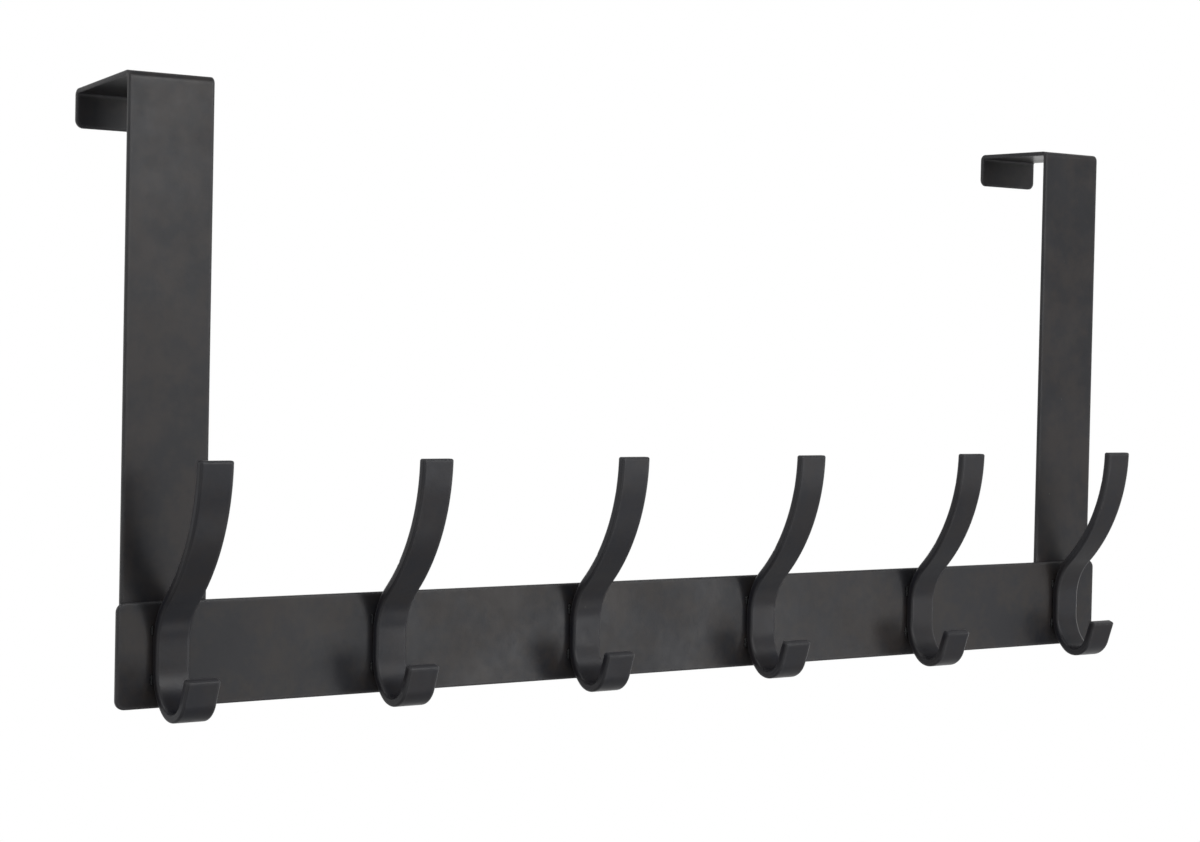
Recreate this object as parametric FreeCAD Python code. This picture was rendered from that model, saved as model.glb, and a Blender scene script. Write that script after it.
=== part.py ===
"""Over door rack: a flat rail with six double hooks, hung on a door by two folded straps.

X runs along the rail, Y from the room towards the door, Z up. The origin lies on the door's
top front edge, midway between the straps. All sizes are in millimetres and degrees.
"""
import FreeCAD, Part
import os
from math import cos, radians, sin
from FreeCAD import Vector

# Door that the rack hangs on
door_thickness = 35.0
door_play = 1.5                # room between the door and the lips, front to back

# Rail
rail_length = 490.0
rail_height = 36.8
rail_thickness = 1.8
rail_corner_r = 3.3
rail_drop = 198.5              # from the door's top down to the middle of the rail

# Straps, each one strip of sheet folded over the door
strap_width = 33.2
strap_thickness = 1.8
strap_bend_r = 0.7             # inside radius of both folds
strap_end_margin = 2.2         # from the rail's end to the strap's outer edge
strap_foot_margin = 3.0        # from the rail's lower edge up to the strap's end
strap_foot_corner_r = 2.0
lip_height = 14.0              # from the flange's top face down to the lip's edge
lip_corner_r = 3.0
left_flange_angle = 6.5        # the left flange is folded past square, sloping down to the rear
right_flange_angle = 0.0

# Spot welds that hold each strap to the rail, seen as shallow dimples from behind
spot_r = 2.6
spot_depth = 0.3
spot_columns = 2
spot_rows = 2
spot_pitch_x = 17.0
spot_pitch_z = 15.0

# Hooks, each one bent flat bar. Radii are those of the bar's rear face.
hook_count = 6
hook_end_margin = 20.0         # from the rail's end to the middle of the first hook
bar_width = 13.0
bar_thickness = 3.3
bar_edge_r = 0.8
seat_above = 3.2               # flat seat, above and below the middle of the rail
seat_below = 4.6
neck_r = 24.5
neck_angle = 46.3
prong_r = 67.0
prong_angle = 45.4
belly_r = 19.9
belly_angle = 49.1
cup_r = 9.65
cup_angle = 111.7
lip_run = 9.1                  # straight end of the lower hook

# Weld beads in the corners between a hook and the rail
bead_r = 1.15
bead_length = 5.0
bead_offset_z = 8.4            # above and below the middle of the rail
bead_proud = 0.25              # how far a bead's middle stands off the rail's face

# Softened edge of all sheet parts
sheet_edge_r = 0.4

# Places worked out from the sizes above
strap_front_y = -strap_thickness
rail_front_y = strap_front_y - rail_thickness
rail_bottom_z = -rail_drop - rail_height / 2
strap_x = rail_length / 2 - strap_end_margin - strap_width / 2
hook_pitch = (rail_length - 2 * hook_end_margin) / (hook_count - 1)
door_gap = door_thickness + door_play
square_angle = 90.0            # a square fold


def hook_x(index):
    """Middle of a hook along the rail, counted from 0 at the left."""
    return -rail_length / 2 + hook_end_margin + index * hook_pitch


def soften_rim(sheet, broad_faces):
    """Round the edges that bound a sheet's two broad sides, and not those between their faces."""
    rims = {}
    for face in broad_faces:
        for edge in face.OuterWire.Edges:
            rims.setdefault(edge.hashCode(), []).append(edge)
    outer = [edges[0] for edges in rims.values() if len(edges) == 1]
    return sheet.makeFillet(sheet_edge_r, outer)


def make_rail():
    low = Vector(-rail_length / 2, rail_front_y, rail_bottom_z)
    rail = Part.makeBox(rail_length, rail_thickness, rail_height, low)
    corners = [edge for edge in rail.Edges if crosses_sheet(edge, rail_thickness)]
    rail = rail.makeFillet(rail_corner_r, corners)
    broad_faces = [face for face in rail.Faces if is_flat_towards(face, Vector(0, 1, 0))]
    return soften_rim(rail, broad_faces)


def crosses_sheet(edge, thickness):
    """True for an edge that runs from the front of an upright sheet to its back."""
    start, end = edge.Vertexes[0].Point, edge.Vertexes[-1].Point
    return abs(abs(end.y - start.y) - thickness) < 1e-6 and abs(edge.Length - thickness) < 1e-6


def is_flat_towards(face, direction):
    """True for a plane whose normal is along the direction, either way."""
    if not isinstance(face.Surface, Part.Plane):
        return False
    return abs(abs(face.Surface.Axis.dot(direction)) - 1) < 1e-6


def walk(start, heading, steps, offset):
    """Edges of a bent strip's line in the YZ plane, and the point and heading where it ends.

    heading is the angle from straight up, leaning to the front. A step is ("run", length) or
    ("bend", radius, sweep), and a positive sweep turns the line to the front. offset moves the
    line in front of the one that the radii are given for.
    """
    y, z = start
    edges = []
    for step in steps:
        front = Vector(0, -cos(heading), -sin(heading))
        here = Vector(0, y, z)
        if step[0] == "run":
            there = here + Vector(0, -sin(heading), cos(heading)) * step[1]
            edges.append(Part.makeLine(here + front * offset, there + front * offset))
        else:
            radius, sweep = step[1], radians(step[2])
            side = 1 if sweep > 0 else -1
            centre = here + front * (side * radius)
            reach = radius - side * offset
            points = []
            for part in (0.0, 0.5, 1.0):
                angle = heading + sweep * part
                points.append(centre + Vector(0, cos(angle), sin(angle)) * (side * reach))
            edges.append(Part.Arc(*points).toShape())
            heading += sweep
            there = centre + Vector(0, cos(heading), sin(heading)) * (side * radius)
        y, z = there.y, there.z
    return edges, Vector(0, y, z), heading


def mirrored(edges, z):
    """The edges turned upside down about a height."""
    turned = []
    for edge in edges:
        turned.append(edge.mirror(Vector(0, 0, z), Vector(0, 0, 1)))
    return turned


def hook_outline():
    """Side view of a hook: its rear and front lines, closed by the two square ends."""
    middle = -rail_drop
    start = (rail_front_y, middle)
    upward = [("run", seat_above), ("bend", neck_r, neck_angle), ("bend", prong_r, -prong_angle)]
    downward = [("run", seat_below), ("bend", belly_r, belly_angle), ("bend", cup_r, cup_angle),
                ("run", lip_run)]
    outline = []
    for steps, flip in ((upward, False), (downward, True)):
        rear, rear_end, heading = walk(start, 0.0, steps, 0.0)
        face = walk(start, 0.0, steps, bar_thickness)[0]
        ahead = Vector(0, -cos(heading), -sin(heading))
        end = Part.makeLine(rear_end, rear_end + ahead * bar_thickness)
        edges = rear + face + [end]
        outline += mirrored(edges, middle) if flip else edges
    return Part.Wire(Part.__sortEdges__(outline))


def make_hook(index):
    profile = Part.Face(hook_outline())
    left = hook_x(index) - bar_width / 2
    profile.translate(Vector(left, 0, 0))
    bar = profile.extrude(Vector(bar_width, 0, 0))
    rims = []
    for face in bar.Faces:
        if is_flat_towards(face, Vector(1, 0, 0)):
            rims += face.OuterWire.Edges
    return bar.makeFillet(bar_edge_r, rims + bar_end_edges(bar))


def bar_end_edges(bar):
    """Edges along X at a bar's two square ends, where an end meets the rear or front face."""
    found = []
    for face in bar.Faces:
        if not isinstance(face.Surface, Part.Plane):
            continue
        if abs(face.Area - bar_width * bar_thickness) > 1e-3:
            continue
        for edge in face.Edges:
            if abs(edge.Length - bar_width) < 1e-6:
                found.append(edge)
    return found


def make_beads(index, hook, rail):
    """Four beads of weld in the corners at a hook's sides, cut to lie against hook and rail."""
    run = bead_length - 2 * bead_r
    beads = []
    for side in (-1, 1):
        for level in (-1, 1):
            x = hook_x(index) + side * bar_width / 2
            z = -rail_drop + level * bead_offset_z
            base = Vector(x, rail_front_y - bead_proud, z - run / 2)
            bead = Part.makeCylinder(bead_r, run, base)
            for height in (0, run):
                bead = bead.fuse(Part.makeSphere(bead_r, base + Vector(0, 0, height)))
            bead = bead.removeSplitter().cut(rail).cut(hook)
            beads.append(max(bead.Solids, key=lambda solid: solid.Volume))
    return Part.makeCompound(beads)


def strap_outline(flange_angle):
    """Side view of a strap: front line and rear line of the folded sheet, with an upright lip."""
    foot = rail_bottom_z + strap_foot_margin
    outer_r = strap_bend_r + strap_thickness
    rise = strap_thickness - foot - outer_r
    reach = (door_gap - 2 * strap_bend_r) / cos(radians(flange_angle))
    steps = [("run", rise), ("bend", outer_r, -square_angle - flange_angle), ("run", reach),
             ("bend", outer_r, flange_angle - square_angle), ("run", lip_height - outer_r)]
    front, front_end, heading = walk((strap_front_y, foot), 0.0, steps, 0.0)
    rear = walk((strap_front_y, foot), 0.0, steps, -strap_thickness)[0]
    behind = Vector(0, cos(heading), sin(heading)) * strap_thickness
    foot_end = Part.makeLine(Vector(0, strap_front_y, foot), Vector(0, 0, foot))
    lip_end = Part.makeLine(front_end, front_end + behind)
    return Part.Wire(Part.__sortEdges__(front + rear + [foot_end, lip_end]))


def make_strap(side, flange_angle):
    profile = Part.Face(strap_outline(flange_angle))
    left = side * strap_x - strap_width / 2
    profile.translate(Vector(left, 0, 0))
    strap = profile.extrude(Vector(strap_width, 0, 0))
    for corner_r, above in ((strap_foot_corner_r, False), (lip_corner_r, True)):
        corners = [edge for edge in strap.Edges if crosses_sheet(edge, strap_thickness)]
        corners = [edge for edge in corners if (edge.Vertexes[0].Z > -rail_drop + rail_height) == above]
        strap = strap.makeFillet(corner_r, corners)
    strap = soften_rim(strap, strap_broad_faces(strap))
    return cut_spots(strap, side)


def strap_broad_faces(strap):
    """The faces across the strip's width, front and rear, without its two narrow ends."""
    end_area = strap_width * strap_thickness
    found = []
    for face in strap.Faces:
        low_u, high_u, low_v, high_v = face.ParameterRange
        normal = face.normalAt((low_u + high_u) / 2, (low_v + high_v) / 2)
        is_end = isinstance(face.Surface, Part.Plane) and face.Area < end_area
        if abs(normal.x) < 1e-6 and not is_end:
            found.append(face)
    return found


def cut_spots(strap, side):
    """Press the dimples of the spot welds into the strap's rear face, over the rail."""
    ball_r = (spot_r ** 2 + spot_depth ** 2) / (2 * spot_depth)
    for column in range(spot_columns):
        for row in range(spot_rows):
            x = side * strap_x + (column - (spot_columns - 1) / 2) * spot_pitch_x
            z = -rail_drop + (row - (spot_rows - 1) / 2) * spot_pitch_z
            strap = strap.cut(Part.makeSphere(ball_r, Vector(x, ball_r - spot_depth, z)))
    return strap


def save(name, shape):
    shape.exportStep("parts/" + name + ".step")


def build():
    os.makedirs("parts", exist_ok=True)
    rail = make_rail()
    save("rail", rail)
    save("strap_left", make_strap(-1, left_flange_angle))
    save("strap_right", make_strap(1, right_flange_angle))
    for index in range(hook_count):
        name = "hook_" + str(index + 1)
        hook = make_hook(index)
        save(name, hook)
        save(name + "_welds", make_beads(index, hook, rail))


build()
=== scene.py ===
"""Looks of the over door rack: black powder coating on sheet and bar, lit as in a photo studio.

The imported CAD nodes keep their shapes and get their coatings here. The weld beads are made again
with the ripples that a welder leaves. Lengths are in metres and angles in radians. A pattern's
scale is about how many of its spots fit in a metre.
"""
from math import cos, pi, sin

import bpy
from mathutils import Matrix, Vector


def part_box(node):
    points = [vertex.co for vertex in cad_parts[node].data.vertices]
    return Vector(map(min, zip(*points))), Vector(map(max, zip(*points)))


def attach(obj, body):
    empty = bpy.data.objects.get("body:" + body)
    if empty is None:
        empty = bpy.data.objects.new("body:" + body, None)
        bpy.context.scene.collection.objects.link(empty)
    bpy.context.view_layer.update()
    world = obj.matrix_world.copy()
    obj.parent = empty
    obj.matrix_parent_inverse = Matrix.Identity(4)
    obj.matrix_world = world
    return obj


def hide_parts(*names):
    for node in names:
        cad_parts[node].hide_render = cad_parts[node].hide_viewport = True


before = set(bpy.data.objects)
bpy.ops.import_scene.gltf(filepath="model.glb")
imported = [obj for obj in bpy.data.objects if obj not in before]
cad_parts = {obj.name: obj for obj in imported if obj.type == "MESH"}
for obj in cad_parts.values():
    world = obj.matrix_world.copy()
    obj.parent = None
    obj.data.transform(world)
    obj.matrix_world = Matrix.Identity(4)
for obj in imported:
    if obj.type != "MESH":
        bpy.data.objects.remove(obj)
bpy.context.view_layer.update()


def tint(red, green, blue):
    return (red, green, blue, 1.0)


def grey(level):
    """A colour that is the same in red, green and blue."""
    return tint(level, level, level)


# Camera, from the photograph's vanishing lines
camera_place = Vector((-0.68650, -0.83634, -0.09113))
camera_yaw = 0.66130            # to the right of straight ahead
camera_pitch = -0.02515
camera_roll = 0.02093
camera_lens = 81.909
sensor_width = 36.0
nearest, farthest = 0.01, 100.0         # what the camera still sees
view_direction = (sin(camera_yaw), cos(camera_yaw), 0.0)    # level, from the camera to the rack

# Colour of a coat, in clouds, smaller blotches and fine mottle. The shares add up to 1.
cloud_scale, cloud_share = 26.0, 0.40
blotch_scale, blotch_share = 85.0, 0.35
mottle_scale, mottle_share = 300.0, 0.25
all_warm, all_cool = 0.42, 0.58

# Dust in a coat. A speck's radii are shares of the cell that it lies in.
speck_scale = 170.0
speck_core_r, speck_r = 0.035, 0.07
speck_free = 0.90               # share of the cells without a speck
speck_strength = 0.4
speck_tint = grey(0.12)

# Gloss of a coat, in patches and finer grain
coat_shine = 0.30               # how strongly a coat mirrors, next to 0.5 for glass
patch_scale, patch_share = 45.0, 0.65
grain_scale, grain_share = 240.0, 0.35
glossiest, dullest = 0.30, 0.70

# Orange peel
peel_scale = 420.0
fine_peel_scale, fine_peel_share = 1800.0, 0.12
peel_depth = 0.00008

# Edges. A paler rim beside each edge is a painted highlight, found by how far the rounded normal
# turns from the face's own.
edge_samples = 6
edge_highlight_r = 0.0020                  # the painted highlight lies within this distance of an edge
edge_highlight_samples = 4
edge_highlight_start, edge_highlight_full = 0.998, 0.95
edge_highlight_faint, edge_highlight_strong = 0.35, 0.60      # gloss patches in which the painted highlight is at its half and at its full
# the painted highlight's colour
edge_highlight_tint = tint(0.055, 0.055, 0.058)

# Weld beads. A bead's section is a quarter round that fills the corner of hook and rail.
bead_length = 0.0046
bead_r = 0.00105
bead_ripples = 5.0
bead_unevenness = 0.0003
ripple_depth = 0.20             # of the bead's radius
bead_end_share = 0.30           # radius at a bead's two ends, as a share
bead_fullness = 4.0             # a higher power keeps the bead thick nearer to its ends
bead_rings = 41
bead_section_points = 9
smallest_bead, largest_bead = 0.82, 1.0
lump_scale = 1400.0
lump_level = 0.75               # lumps below it pull the surface in
left_corner, right_corner = pi, 1.5 * pi

# Room
floor_z = -2.0                  # the rack hangs as high as a door's top
floor_size = 14.0
floor_grey = 0.30               # the floor's own colour, which takes the rack's shadow
painted_shadow_tone = 0.33               # painted shadow: how bright the floor looks below the rack
painted_shadow_near_r, painted_shadow_far_r = 0.8, 5.0    # the painted shadow fades into the backdrop from the first radius to the second
room_light = 0.80               # the room's own light on the rack
side_tone = 0.45                # the backdrop beside the camera and behind it
white_from = 0.85               # cosine of the angle from the view within which it is white
ceiling_from, ceiling_to, ceiling_dim = 0.25, 0.75, 0.25
white = grey(1.0)

# Softboxes: place, width, height and power in watts. All face the middle of the rack.
rack_middle = Vector((0.0, 0.0, -0.15))
softboxes = {
    "softbox_strap": ((0.55, -1.55, 0.40), 0.62, 0.75, 7.3),
    "softbox_rail": ((1.14, -1.55, -0.48), 0.54, 0.60, 3.6),
    "softbox_low": ((1.14, -1.50, -1.58), 0.62, 0.60, 2.4),
    "softbox_high": ((1.10, -1.45, 0.95), 0.70, 0.35, 3.0),
    "softbox_side": ((2.50, 0.10, 0.10), 1.50, 2.0, 12.0),
    "softbox_left": ((-1.10, 0.00, 1.00), 0.30, 0.50, 3.5),
}


def link_object(name, data):
    made = bpy.data.objects.new(name, data)
    bpy.context.scene.collection.objects.link(made)
    return made


def make_camera():
    ahead = Vector((sin(camera_yaw) * cos(camera_pitch), cos(camera_yaw) * cos(camera_pitch),
                    sin(camera_pitch)))
    level_right = Vector((cos(camera_yaw), -sin(camera_yaw), 0.0))
    level_up = level_right.cross(ahead)
    right = level_right * cos(camera_roll) + level_up * sin(camera_roll)
    up = level_up * cos(camera_roll) - level_right * sin(camera_roll)
    data = bpy.data.cameras.new("camera")
    data.lens = camera_lens
    data.sensor_width = sensor_width
    data.sensor_fit = "HORIZONTAL"
    data.clip_start, data.clip_end = nearest, farthest
    camera = link_object("camera", data)
    turn = Matrix((right, up, -ahead)).transposed().to_4x4()
    camera.matrix_world = Matrix.Translation(camera_place) @ turn
    bpy.context.scene.camera = camera


def feed(tree, socket, value):
    """Link an input to another node's output, or set it to a value."""
    if isinstance(value, bpy.types.NodeSocket):
        tree.links.new(value, socket)
    else:
        socket.default_value = value


def add(tree, kind, **sockets):
    """A new node, with the given inputs fed. Names use _ for a space."""
    node = tree.nodes.new(kind)
    for name, value in sockets.items():
        feed(tree, node.inputs[name.replace("_", " ")], value)
    return node


def math(tree, operation, first, second=0.0):
    node = tree.nodes.new("ShaderNodeMath")
    node.operation = operation
    feed(tree, node.inputs[0], first)
    feed(tree, node.inputs[1], second)
    return node.outputs[0]


def times(tree, first, second):
    return math(tree, "MULTIPLY", first, second)


def total(tree, first, second):
    return math(tree, "ADD", first, second)


def vector(tree, operation, first, second=(0.0, 0.0, 0.0)):
    node = tree.nodes.new("ShaderNodeVectorMath")
    node.operation = operation
    feed(tree, node.inputs[0], first)
    feed(tree, node.inputs["Scale"] if operation == "SCALE" else node.inputs[1], second)
    return node.outputs["Value" if operation in ("LENGTH", "DOT_PRODUCT") else "Vector"]


def flattened(tree, place):
    """A place or direction with its height taken out."""
    return vector(tree, "MULTIPLY", place, (1.0, 1.0, 0.0))


def spread(tree, value, low, high, new_low, new_high):
    """Map a value from one range to another, held inside the new one."""
    node = add(tree, "ShaderNodeMapRange", Value=value, From_Min=low, From_Max=high,
               To_Min=new_low, To_Max=new_high)
    return node.outputs["Result"]


def noise(tree, place, scale, detail=1.0):
    return add(tree, "ShaderNodeTexNoise", Vector=place, Scale=scale, Detail=detail).outputs["Fac"]


def mix(tree, share, first, second):
    node = tree.nodes.new("ShaderNodeMix")
    node.data_type = "RGBA"
    colours = [socket for socket in node.inputs if socket.type == "RGBA"]
    for socket, value in zip([node.inputs[0]] + colours, (share, first, second)):
        feed(tree, socket, value)
    return [socket for socket in node.outputs if socket.type == "RGBA"][0]


def empty_tree(owner):
    """The node tree of a material or world, with nothing in it yet."""
    owner.use_nodes = True
    owner.node_tree.nodes.clear()
    return owner.node_tree


def connect_output(tree, kind, shader):
    tree.links.new(shader.outputs[0], tree.nodes.new(kind).inputs["Surface"])


def cloudy_black(tree, place, warm, cool):
    """A warmer and a cooler black, in clouds that break up into blotches and mottle."""
    clouds = times(tree, noise(tree, place, cloud_scale, 2.0), cloud_share)
    blotches = times(tree, noise(tree, place, blotch_scale), blotch_share)
    mottle = times(tree, noise(tree, place, mottle_scale), mottle_share)
    shade = total(tree, total(tree, clouds, blotches), mottle)
    return mix(tree, spread(tree, shade, all_warm, all_cool, 0.0, 1.0), warm, cool)


def dusty(tree, place, colour):
    """The colour with a pale speck in a few cells."""
    cells = add(tree, "ShaderNodeTexVoronoi", Vector=place, Scale=speck_scale)
    dot = spread(tree, cells.outputs["Distance"], speck_core_r, speck_r, 1.0, 0.0)
    chance = add(tree, "ShaderNodeSeparateColor", Color=cells.outputs["Color"])
    rare = math(tree, "GREATER_THAN", chance.outputs[0], speck_free)
    return mix(tree, times(tree, dot, times(tree, rare, speck_strength)), colour, speck_tint)


def painted_edge_highlight(tree, patches, colour, edge_highlight_share):
    """The colour with a painted highlight: paler beside an edge."""
    flat = tree.nodes.new("ShaderNodeNewGeometry").outputs["Normal"]
    rounded = add(tree, "ShaderNodeBevel", Radius=edge_highlight_r)
    rounded.samples = edge_highlight_samples
    turned = vector(tree, "DOT_PRODUCT", rounded.outputs["Normal"], flat)
    rim = times(tree, spread(tree, turned, edge_highlight_start, edge_highlight_full, 0.0, 1.0),
                spread(tree, patches, edge_highlight_faint, edge_highlight_strong, edge_highlight_share / 2, edge_highlight_share))
    # painted highlight: the paler colour is mixed in beside the edges
    return mix(tree, rim, colour, edge_highlight_tint)


def coating(name, warm, cool, gloss_low, gloss_high, peel, edge_r, edge_highlight_share):
    """Powder coating: cloudy black with a few specks of dust, dull and brighter patches, fine
    orange peel, a film that runs thick over the edges, and a painted highlight beside them, a paler
    rim."""
    material = bpy.data.materials.new(name)
    tree = empty_tree(material)
    place = tree.nodes.new("ShaderNodeTexCoord").outputs["Object"]

    patches = noise(tree, place, patch_scale)
    gloss = total(tree, times(tree, patches, patch_share),
                  times(tree, noise(tree, place, grain_scale), grain_share))
    rough = spread(tree, gloss, glossiest, dullest, gloss_low, gloss_high)

    colour = dusty(tree, place, cloudy_black(tree, place, warm, cool))
    # painted highlight beside the edges
    colour = painted_edge_highlight(tree, patches, colour, edge_highlight_share)

    skin = total(tree, noise(tree, place, peel_scale, 2.0),
                 times(tree, noise(tree, place, fine_peel_scale), fine_peel_share))
    edge = add(tree, "ShaderNodeBevel", Radius=edge_r)
    edge.samples = edge_samples
    bump = add(tree, "ShaderNodeBump", Strength=peel, Distance=peel_depth, Height=skin,
               Normal=edge.outputs["Normal"])

    shader = add(tree, "ShaderNodeBsdfPrincipled", Base_Color=colour, Roughness=rough,
                 Normal=bump.outputs["Normal"])
    shader.inputs["Specular IOR Level"].default_value = coat_shine
    connect_output(tree, "ShaderNodeOutputMaterial", shader)
    return material


def set_input(modifier, tree, name, value):
    """Set a modifier's input by the identifier of the tree's socket of that name."""
    for item in tree.interface.items_tree:
        if item.item_type == "SOCKET" and item.in_out == "INPUT" and item.name == name:
            modifier[item.identifier] = value


def number_socket(sockets, name):
    """The socket of that name that holds a single number."""
    return [socket for socket in sockets if socket.name == name and socket.type == "VALUE"][0]


def bead_size(tree, given):
    """Radius along a bead: humped from end to end, with ripples, and never below its ends'."""
    along = tree.nodes.new("GeometryNodeSplineParameter").outputs["Factor"]
    from_middle = math(tree, "SUBTRACT", times(tree, along, 2.0), 1.0)
    fall = math(tree, "POWER", math(tree, "ABSOLUTE", from_middle), bead_fullness)
    hump = math(tree, "SQRT", math(tree, "SUBTRACT", 1.0, fall))
    turn = times(tree, along, times(tree, given["Ripples"], pi))
    wave = math(tree, "ABSOLUTE", math(tree, "SINE", turn))
    ripple = total(tree, times(tree, wave, ripple_depth), 1.0 - ripple_depth)
    size = times(tree, times(tree, hump, ripple), given["Radius"])
    return math(tree, "MAXIMUM", size, times(tree, given["Radius"], bead_end_share))


def rippled_bead_tree():
    """A bead of weld at each point: a quarter round with humped ends, ripples and uneven sides."""
    tree = bpy.data.node_groups.new("rippled_bead", "GeometryNodeTree")
    for name, kind in (("Geometry", "Geometry"), ("Length", "Float"), ("Radius", "Float"),
                       ("Ripples", "Float"), ("Unevenness", "Float"), ("Seed", "Int"),
                       ("Coat", "Material")):
        tree.interface.new_socket(name, in_out="INPUT", socket_type="NodeSocket" + kind)
    tree.interface.new_socket("Geometry", in_out="OUTPUT", socket_type="NodeSocketGeometry")
    given = tree.nodes.new("NodeGroupInput").outputs

    half = times(tree, given["Length"], 0.5)
    low = add(tree, "ShaderNodeCombineXYZ", Z=times(tree, half, -1.0))
    high = add(tree, "ShaderNodeCombineXYZ", Z=half)
    line = add(tree, "GeometryNodeCurvePrimitiveLine", Start=low.outputs[0], End=high.outputs[0])
    rings = add(tree, "GeometryNodeResampleCurve", Curve=line.outputs[0], Count=bead_rings)

    section = add(tree, "GeometryNodeCurveArc", Resolution=bead_section_points, Radius=1.0,
                  Start_Angle=0.0, Sweep_Angle=pi / 2, Connect_Center=True)
    section.mode = "RADIUS"
    bead = add(tree, "GeometryNodeCurveToMesh", Curve=rings.outputs[0],
               Profile_Curve=section.outputs[0], Scale=bead_size(tree, given), Fill_Caps=True)

    turn = add(tree, "GeometryNodeInputNamedAttribute", Name="turn")
    turned = add(tree, "ShaderNodeCombineXYZ", Z=turn.outputs["Attribute"])
    chance = add(tree, "FunctionNodeRandomValue", Seed=given["Seed"])
    number_socket(chance.inputs, "Min").default_value = smallest_bead
    number_socket(chance.inputs, "Max").default_value = largest_bead
    placed = add(tree, "GeometryNodeInstanceOnPoints", Points=given["Geometry"],
                 Instance=bead.outputs[0], Rotation=turned.outputs[0],
                 Scale=number_socket(chance.outputs, "Value"))
    real = add(tree, "GeometryNodeRealizeInstances", Geometry=placed.outputs[0])

    lumps = add(tree, "ShaderNodeTexNoise", Scale=lump_scale, Detail=1.0)
    push = times(tree, math(tree, "SUBTRACT", lumps.outputs[0], lump_level), given["Unevenness"])
    facing = tree.nodes.new("GeometryNodeInputNormal").outputs[0]
    uneven = add(tree, "GeometryNodeSetPosition", Geometry=real.outputs[0],
                 Offset=vector(tree, "SCALE", facing, push))
    smooth = add(tree, "GeometryNodeSetShadeSmooth", Geometry=uneven.outputs[0])
    coated = add(tree, "GeometryNodeSetMaterial", Geometry=smooth.outputs[0],
                 Material=given["Coat"])
    end = tree.nodes.new("NodeGroupOutput")
    tree.links.new(coated.outputs[0], end.inputs[0])
    return tree


def bead_points(node_name):
    """A mesh of the four beads' middles, each with the turn that fits it into its corner."""
    low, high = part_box(node_name)
    hook_low, hook_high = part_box(node_name[:-len("_welds")])
    corner_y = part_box("rail")[0].y
    points, turns = [], []
    for x, turn in ((hook_low[0], left_corner), (hook_high[0], right_corner)):
        for z in (low[2] + bead_length / 2, high[2] - bead_length / 2):
            points.append((x, corner_y, z))
            turns.append(turn)
    mesh = bpy.data.meshes.new(node_name + "_points")
    mesh.from_pydata(points, [], [])
    mesh.attributes.new("turn", "FLOAT", "POINT").data.foreach_set("value", turns)
    return mesh


def weld_hook(node_name, tree, coat):
    """Rippled beads in place of a hook's plain ones, at the same corners."""
    host = link_object(node_name + "_points", bead_points(node_name))
    ripples = host.modifiers.new("ripples", "NODES")
    ripples.node_group = tree
    hook_number = int(node_name.split("_")[1])
    for name, value in (("Length", bead_length), ("Radius", bead_r), ("Ripples", bead_ripples),
                        ("Unevenness", bead_unevenness), ("Seed", hook_number), ("Coat", coat)):
        set_input(ripples, tree, name, value)
    evaluated = host.evaluated_get(bpy.context.evaluated_depsgraph_get())
    made = bpy.data.meshes.new_from_object(evaluated)
    host.modifiers.remove(ripples)
    bpy.data.objects.remove(host)
    beads = link_object(node_name + "_rippled", made)
    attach(beads, "root")
    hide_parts(node_name)


def wear(node_name, material):
    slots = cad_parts[node_name].data.materials
    slots.clear()
    slots.append(material)


def dress_rack():
    # The last share is how strong each coat's painted highlight is beside its edges.
    rail_coat = coating("rail_coat", tint(0.0262, 0.0226, 0.0216), tint(0.0172, 0.0174, 0.0206),
                        gloss_low=0.285, gloss_high=0.42, peel=0.30, edge_r=0.0010,
                        edge_highlight_share=0.80)
    strap_coat = coating("strap_coat", tint(0.0276, 0.0240, 0.0236), tint(0.0172, 0.0174, 0.0202),
                         gloss_low=0.285, gloss_high=0.42, peel=0.30, edge_r=0.0011,
                         edge_highlight_share=0.90)
    hook_coat = coating("hook_coat", tint(0.0164, 0.0148, 0.0168), tint(0.0128, 0.0132, 0.0176),
                        gloss_low=0.30, gloss_high=0.42, peel=0.34, edge_r=0.0011,
                        edge_highlight_share=0.80)
    weld_coat = coating("weld_coat", tint(0.0120, 0.0118, 0.0122), tint(0.0090, 0.0096, 0.0112),
                        gloss_low=0.20, gloss_high=0.32, peel=0.60, edge_r=0.0002,
                        edge_highlight_share=0.0)
    beads = rippled_bead_tree()
    for name in list(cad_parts):
        if name.endswith("_welds"):
            wear(name, weld_coat)
            weld_hook(name, beads, weld_coat)
        elif name.startswith("hook_"):
            wear(name, hook_coat)
        elif name.startswith("strap_"):
            wear(name, strap_coat)
        else:
            wear(name, rail_coat)


def seen_or_mirrored(tree):
    """1 for rays from the camera and for mirrored and refracted ones."""
    path = tree.nodes.new("ShaderNodeLightPath")
    shown = math(tree, "MAXIMUM", path.outputs["Is Camera Ray"], path.outputs["Is Glossy Ray"])
    return math(tree, "MAXIMUM", shown, path.outputs["Is Transmission Ray"])


def backdrop_tone(tree, direction):
    """White where the photo looks past the rack, light grey beside the camera and behind it."""
    level = vector(tree, "NORMALIZE", flattened(tree, direction))
    behind = vector(tree, "DOT_PRODUCT", level, view_direction)
    return spread(tree, behind, 0.0, white_from, side_tone, 1.0)


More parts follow.
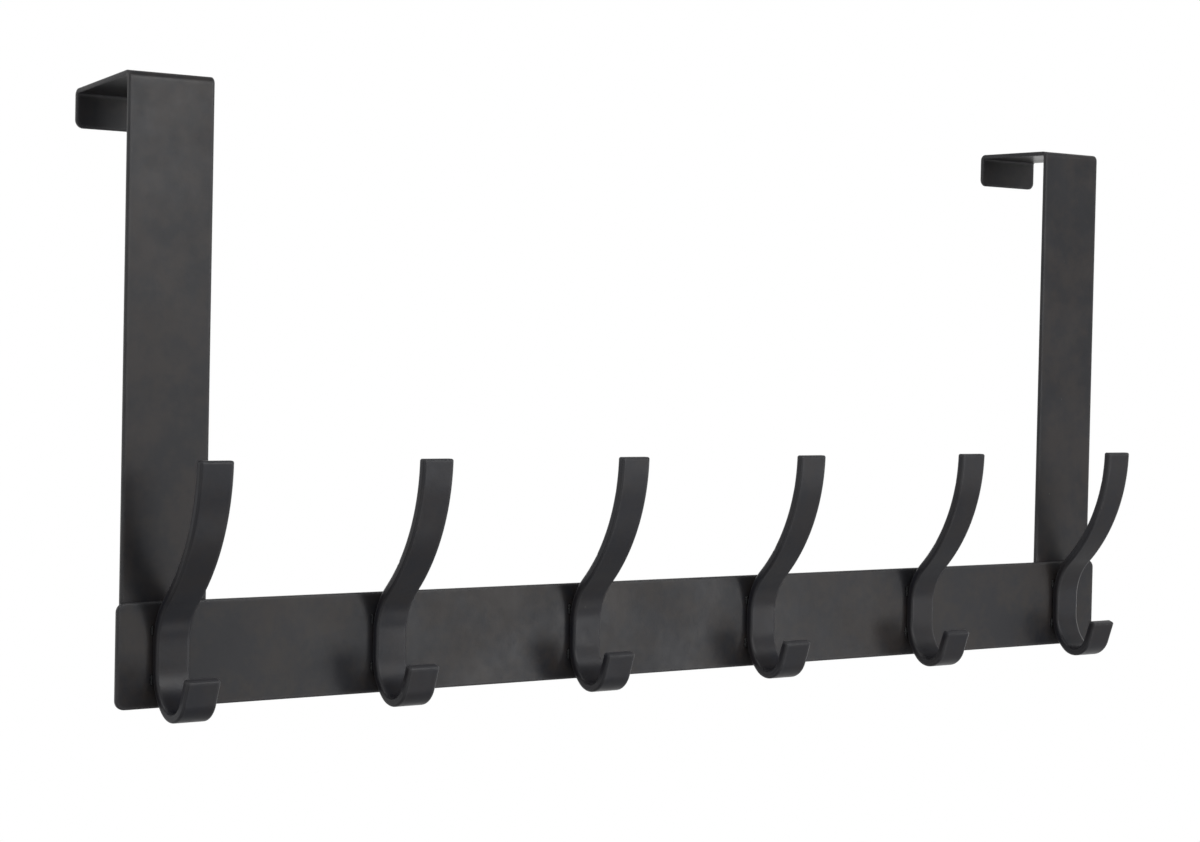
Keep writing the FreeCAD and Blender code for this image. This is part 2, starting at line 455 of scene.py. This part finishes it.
def make_backdrop():
    """The room's even light, and what is seen and mirrored of it: the backdrop and a dim ceiling."""
    world = bpy.data.worlds.new("studio")
    bpy.context.scene.world = world
    tree = empty_tree(world)
    direction = tree.nodes.new("ShaderNodeTexCoord").outputs["Generated"]
    height = add(tree, "ShaderNodeSeparateXYZ", Vector=direction).outputs["Z"]
    ceiling = spread(tree, height, ceiling_from, ceiling_to, 1.0, ceiling_dim)
    tone = times(tree, backdrop_tone(tree, direction), ceiling)
    strength = spread(tree, seen_or_mirrored(tree), 0.0, 1.0, room_light, tone)
    light = add(tree, "ShaderNodeBackground", Color=white, Strength=strength)
    connect_output(tree, "ShaderNodeOutputWorld", light)


def floor_paper():
    """Grey paper that takes the real shadow, with a glow that leaves a painted shadow below the rack
    and fades it into the backdrop.
    """
    paper = bpy.data.materials.new("floor_paper")
    tree = empty_tree(paper)
    place = tree.nodes.new("ShaderNodeTexCoord").outputs["Object"]
    away = vector(tree, "LENGTH", flattened(tree, place))
    # painted shadow: the glow is dim near the point below the rack
    tone = spread(tree, away, painted_shadow_near_r, painted_shadow_far_r, painted_shadow_tone, backdrop_tone(tree, place))
    glow = math(tree, "SUBTRACT", tone, floor_grey * room_light)
    dull = add(tree, "ShaderNodeBsdfDiffuse", Color=grey(floor_grey))
    bright = add(tree, "ShaderNodeEmission", Color=white,
                 Strength=times(tree, glow, seen_or_mirrored(tree)))
    both = tree.nodes.new("ShaderNodeAddShader")
    tree.links.new(dull.outputs[0], both.inputs[0])
    tree.links.new(bright.outputs[0], both.inputs[1])
    connect_output(tree, "ShaderNodeOutputMaterial", both)
    return paper


def make_floor():
    half = floor_size / 2
    corners = [(-half, -half, floor_z), (half, -half, floor_z), (half, half, floor_z),
               (-half, half, floor_z)]
    mesh = bpy.data.meshes.new("floor")
    mesh.from_pydata(corners, [], [(0, 1, 2, 3)])
    mesh.materials.append(floor_paper())
    link_object("floor", mesh)


def light_rack():
    for name, (place, width, height, power) in softboxes.items():
        data = bpy.data.lights.new(name, "AREA")
        data.shape = "RECTANGLE"
        data.size, data.size_y = width, height
        data.energy = power
        box = link_object(name, data)
        box.location = place
        box.rotation_mode = "QUATERNION"
        box.rotation_quaternion = (rack_middle - Vector(place)).to_track_quat("-Z", "Y")
        box.visible_camera = False


make_camera()
make_backdrop()
make_floor()
light_rack()
dress_rack()

bpy.context.scene.view_settings.view_transform = "Standard"
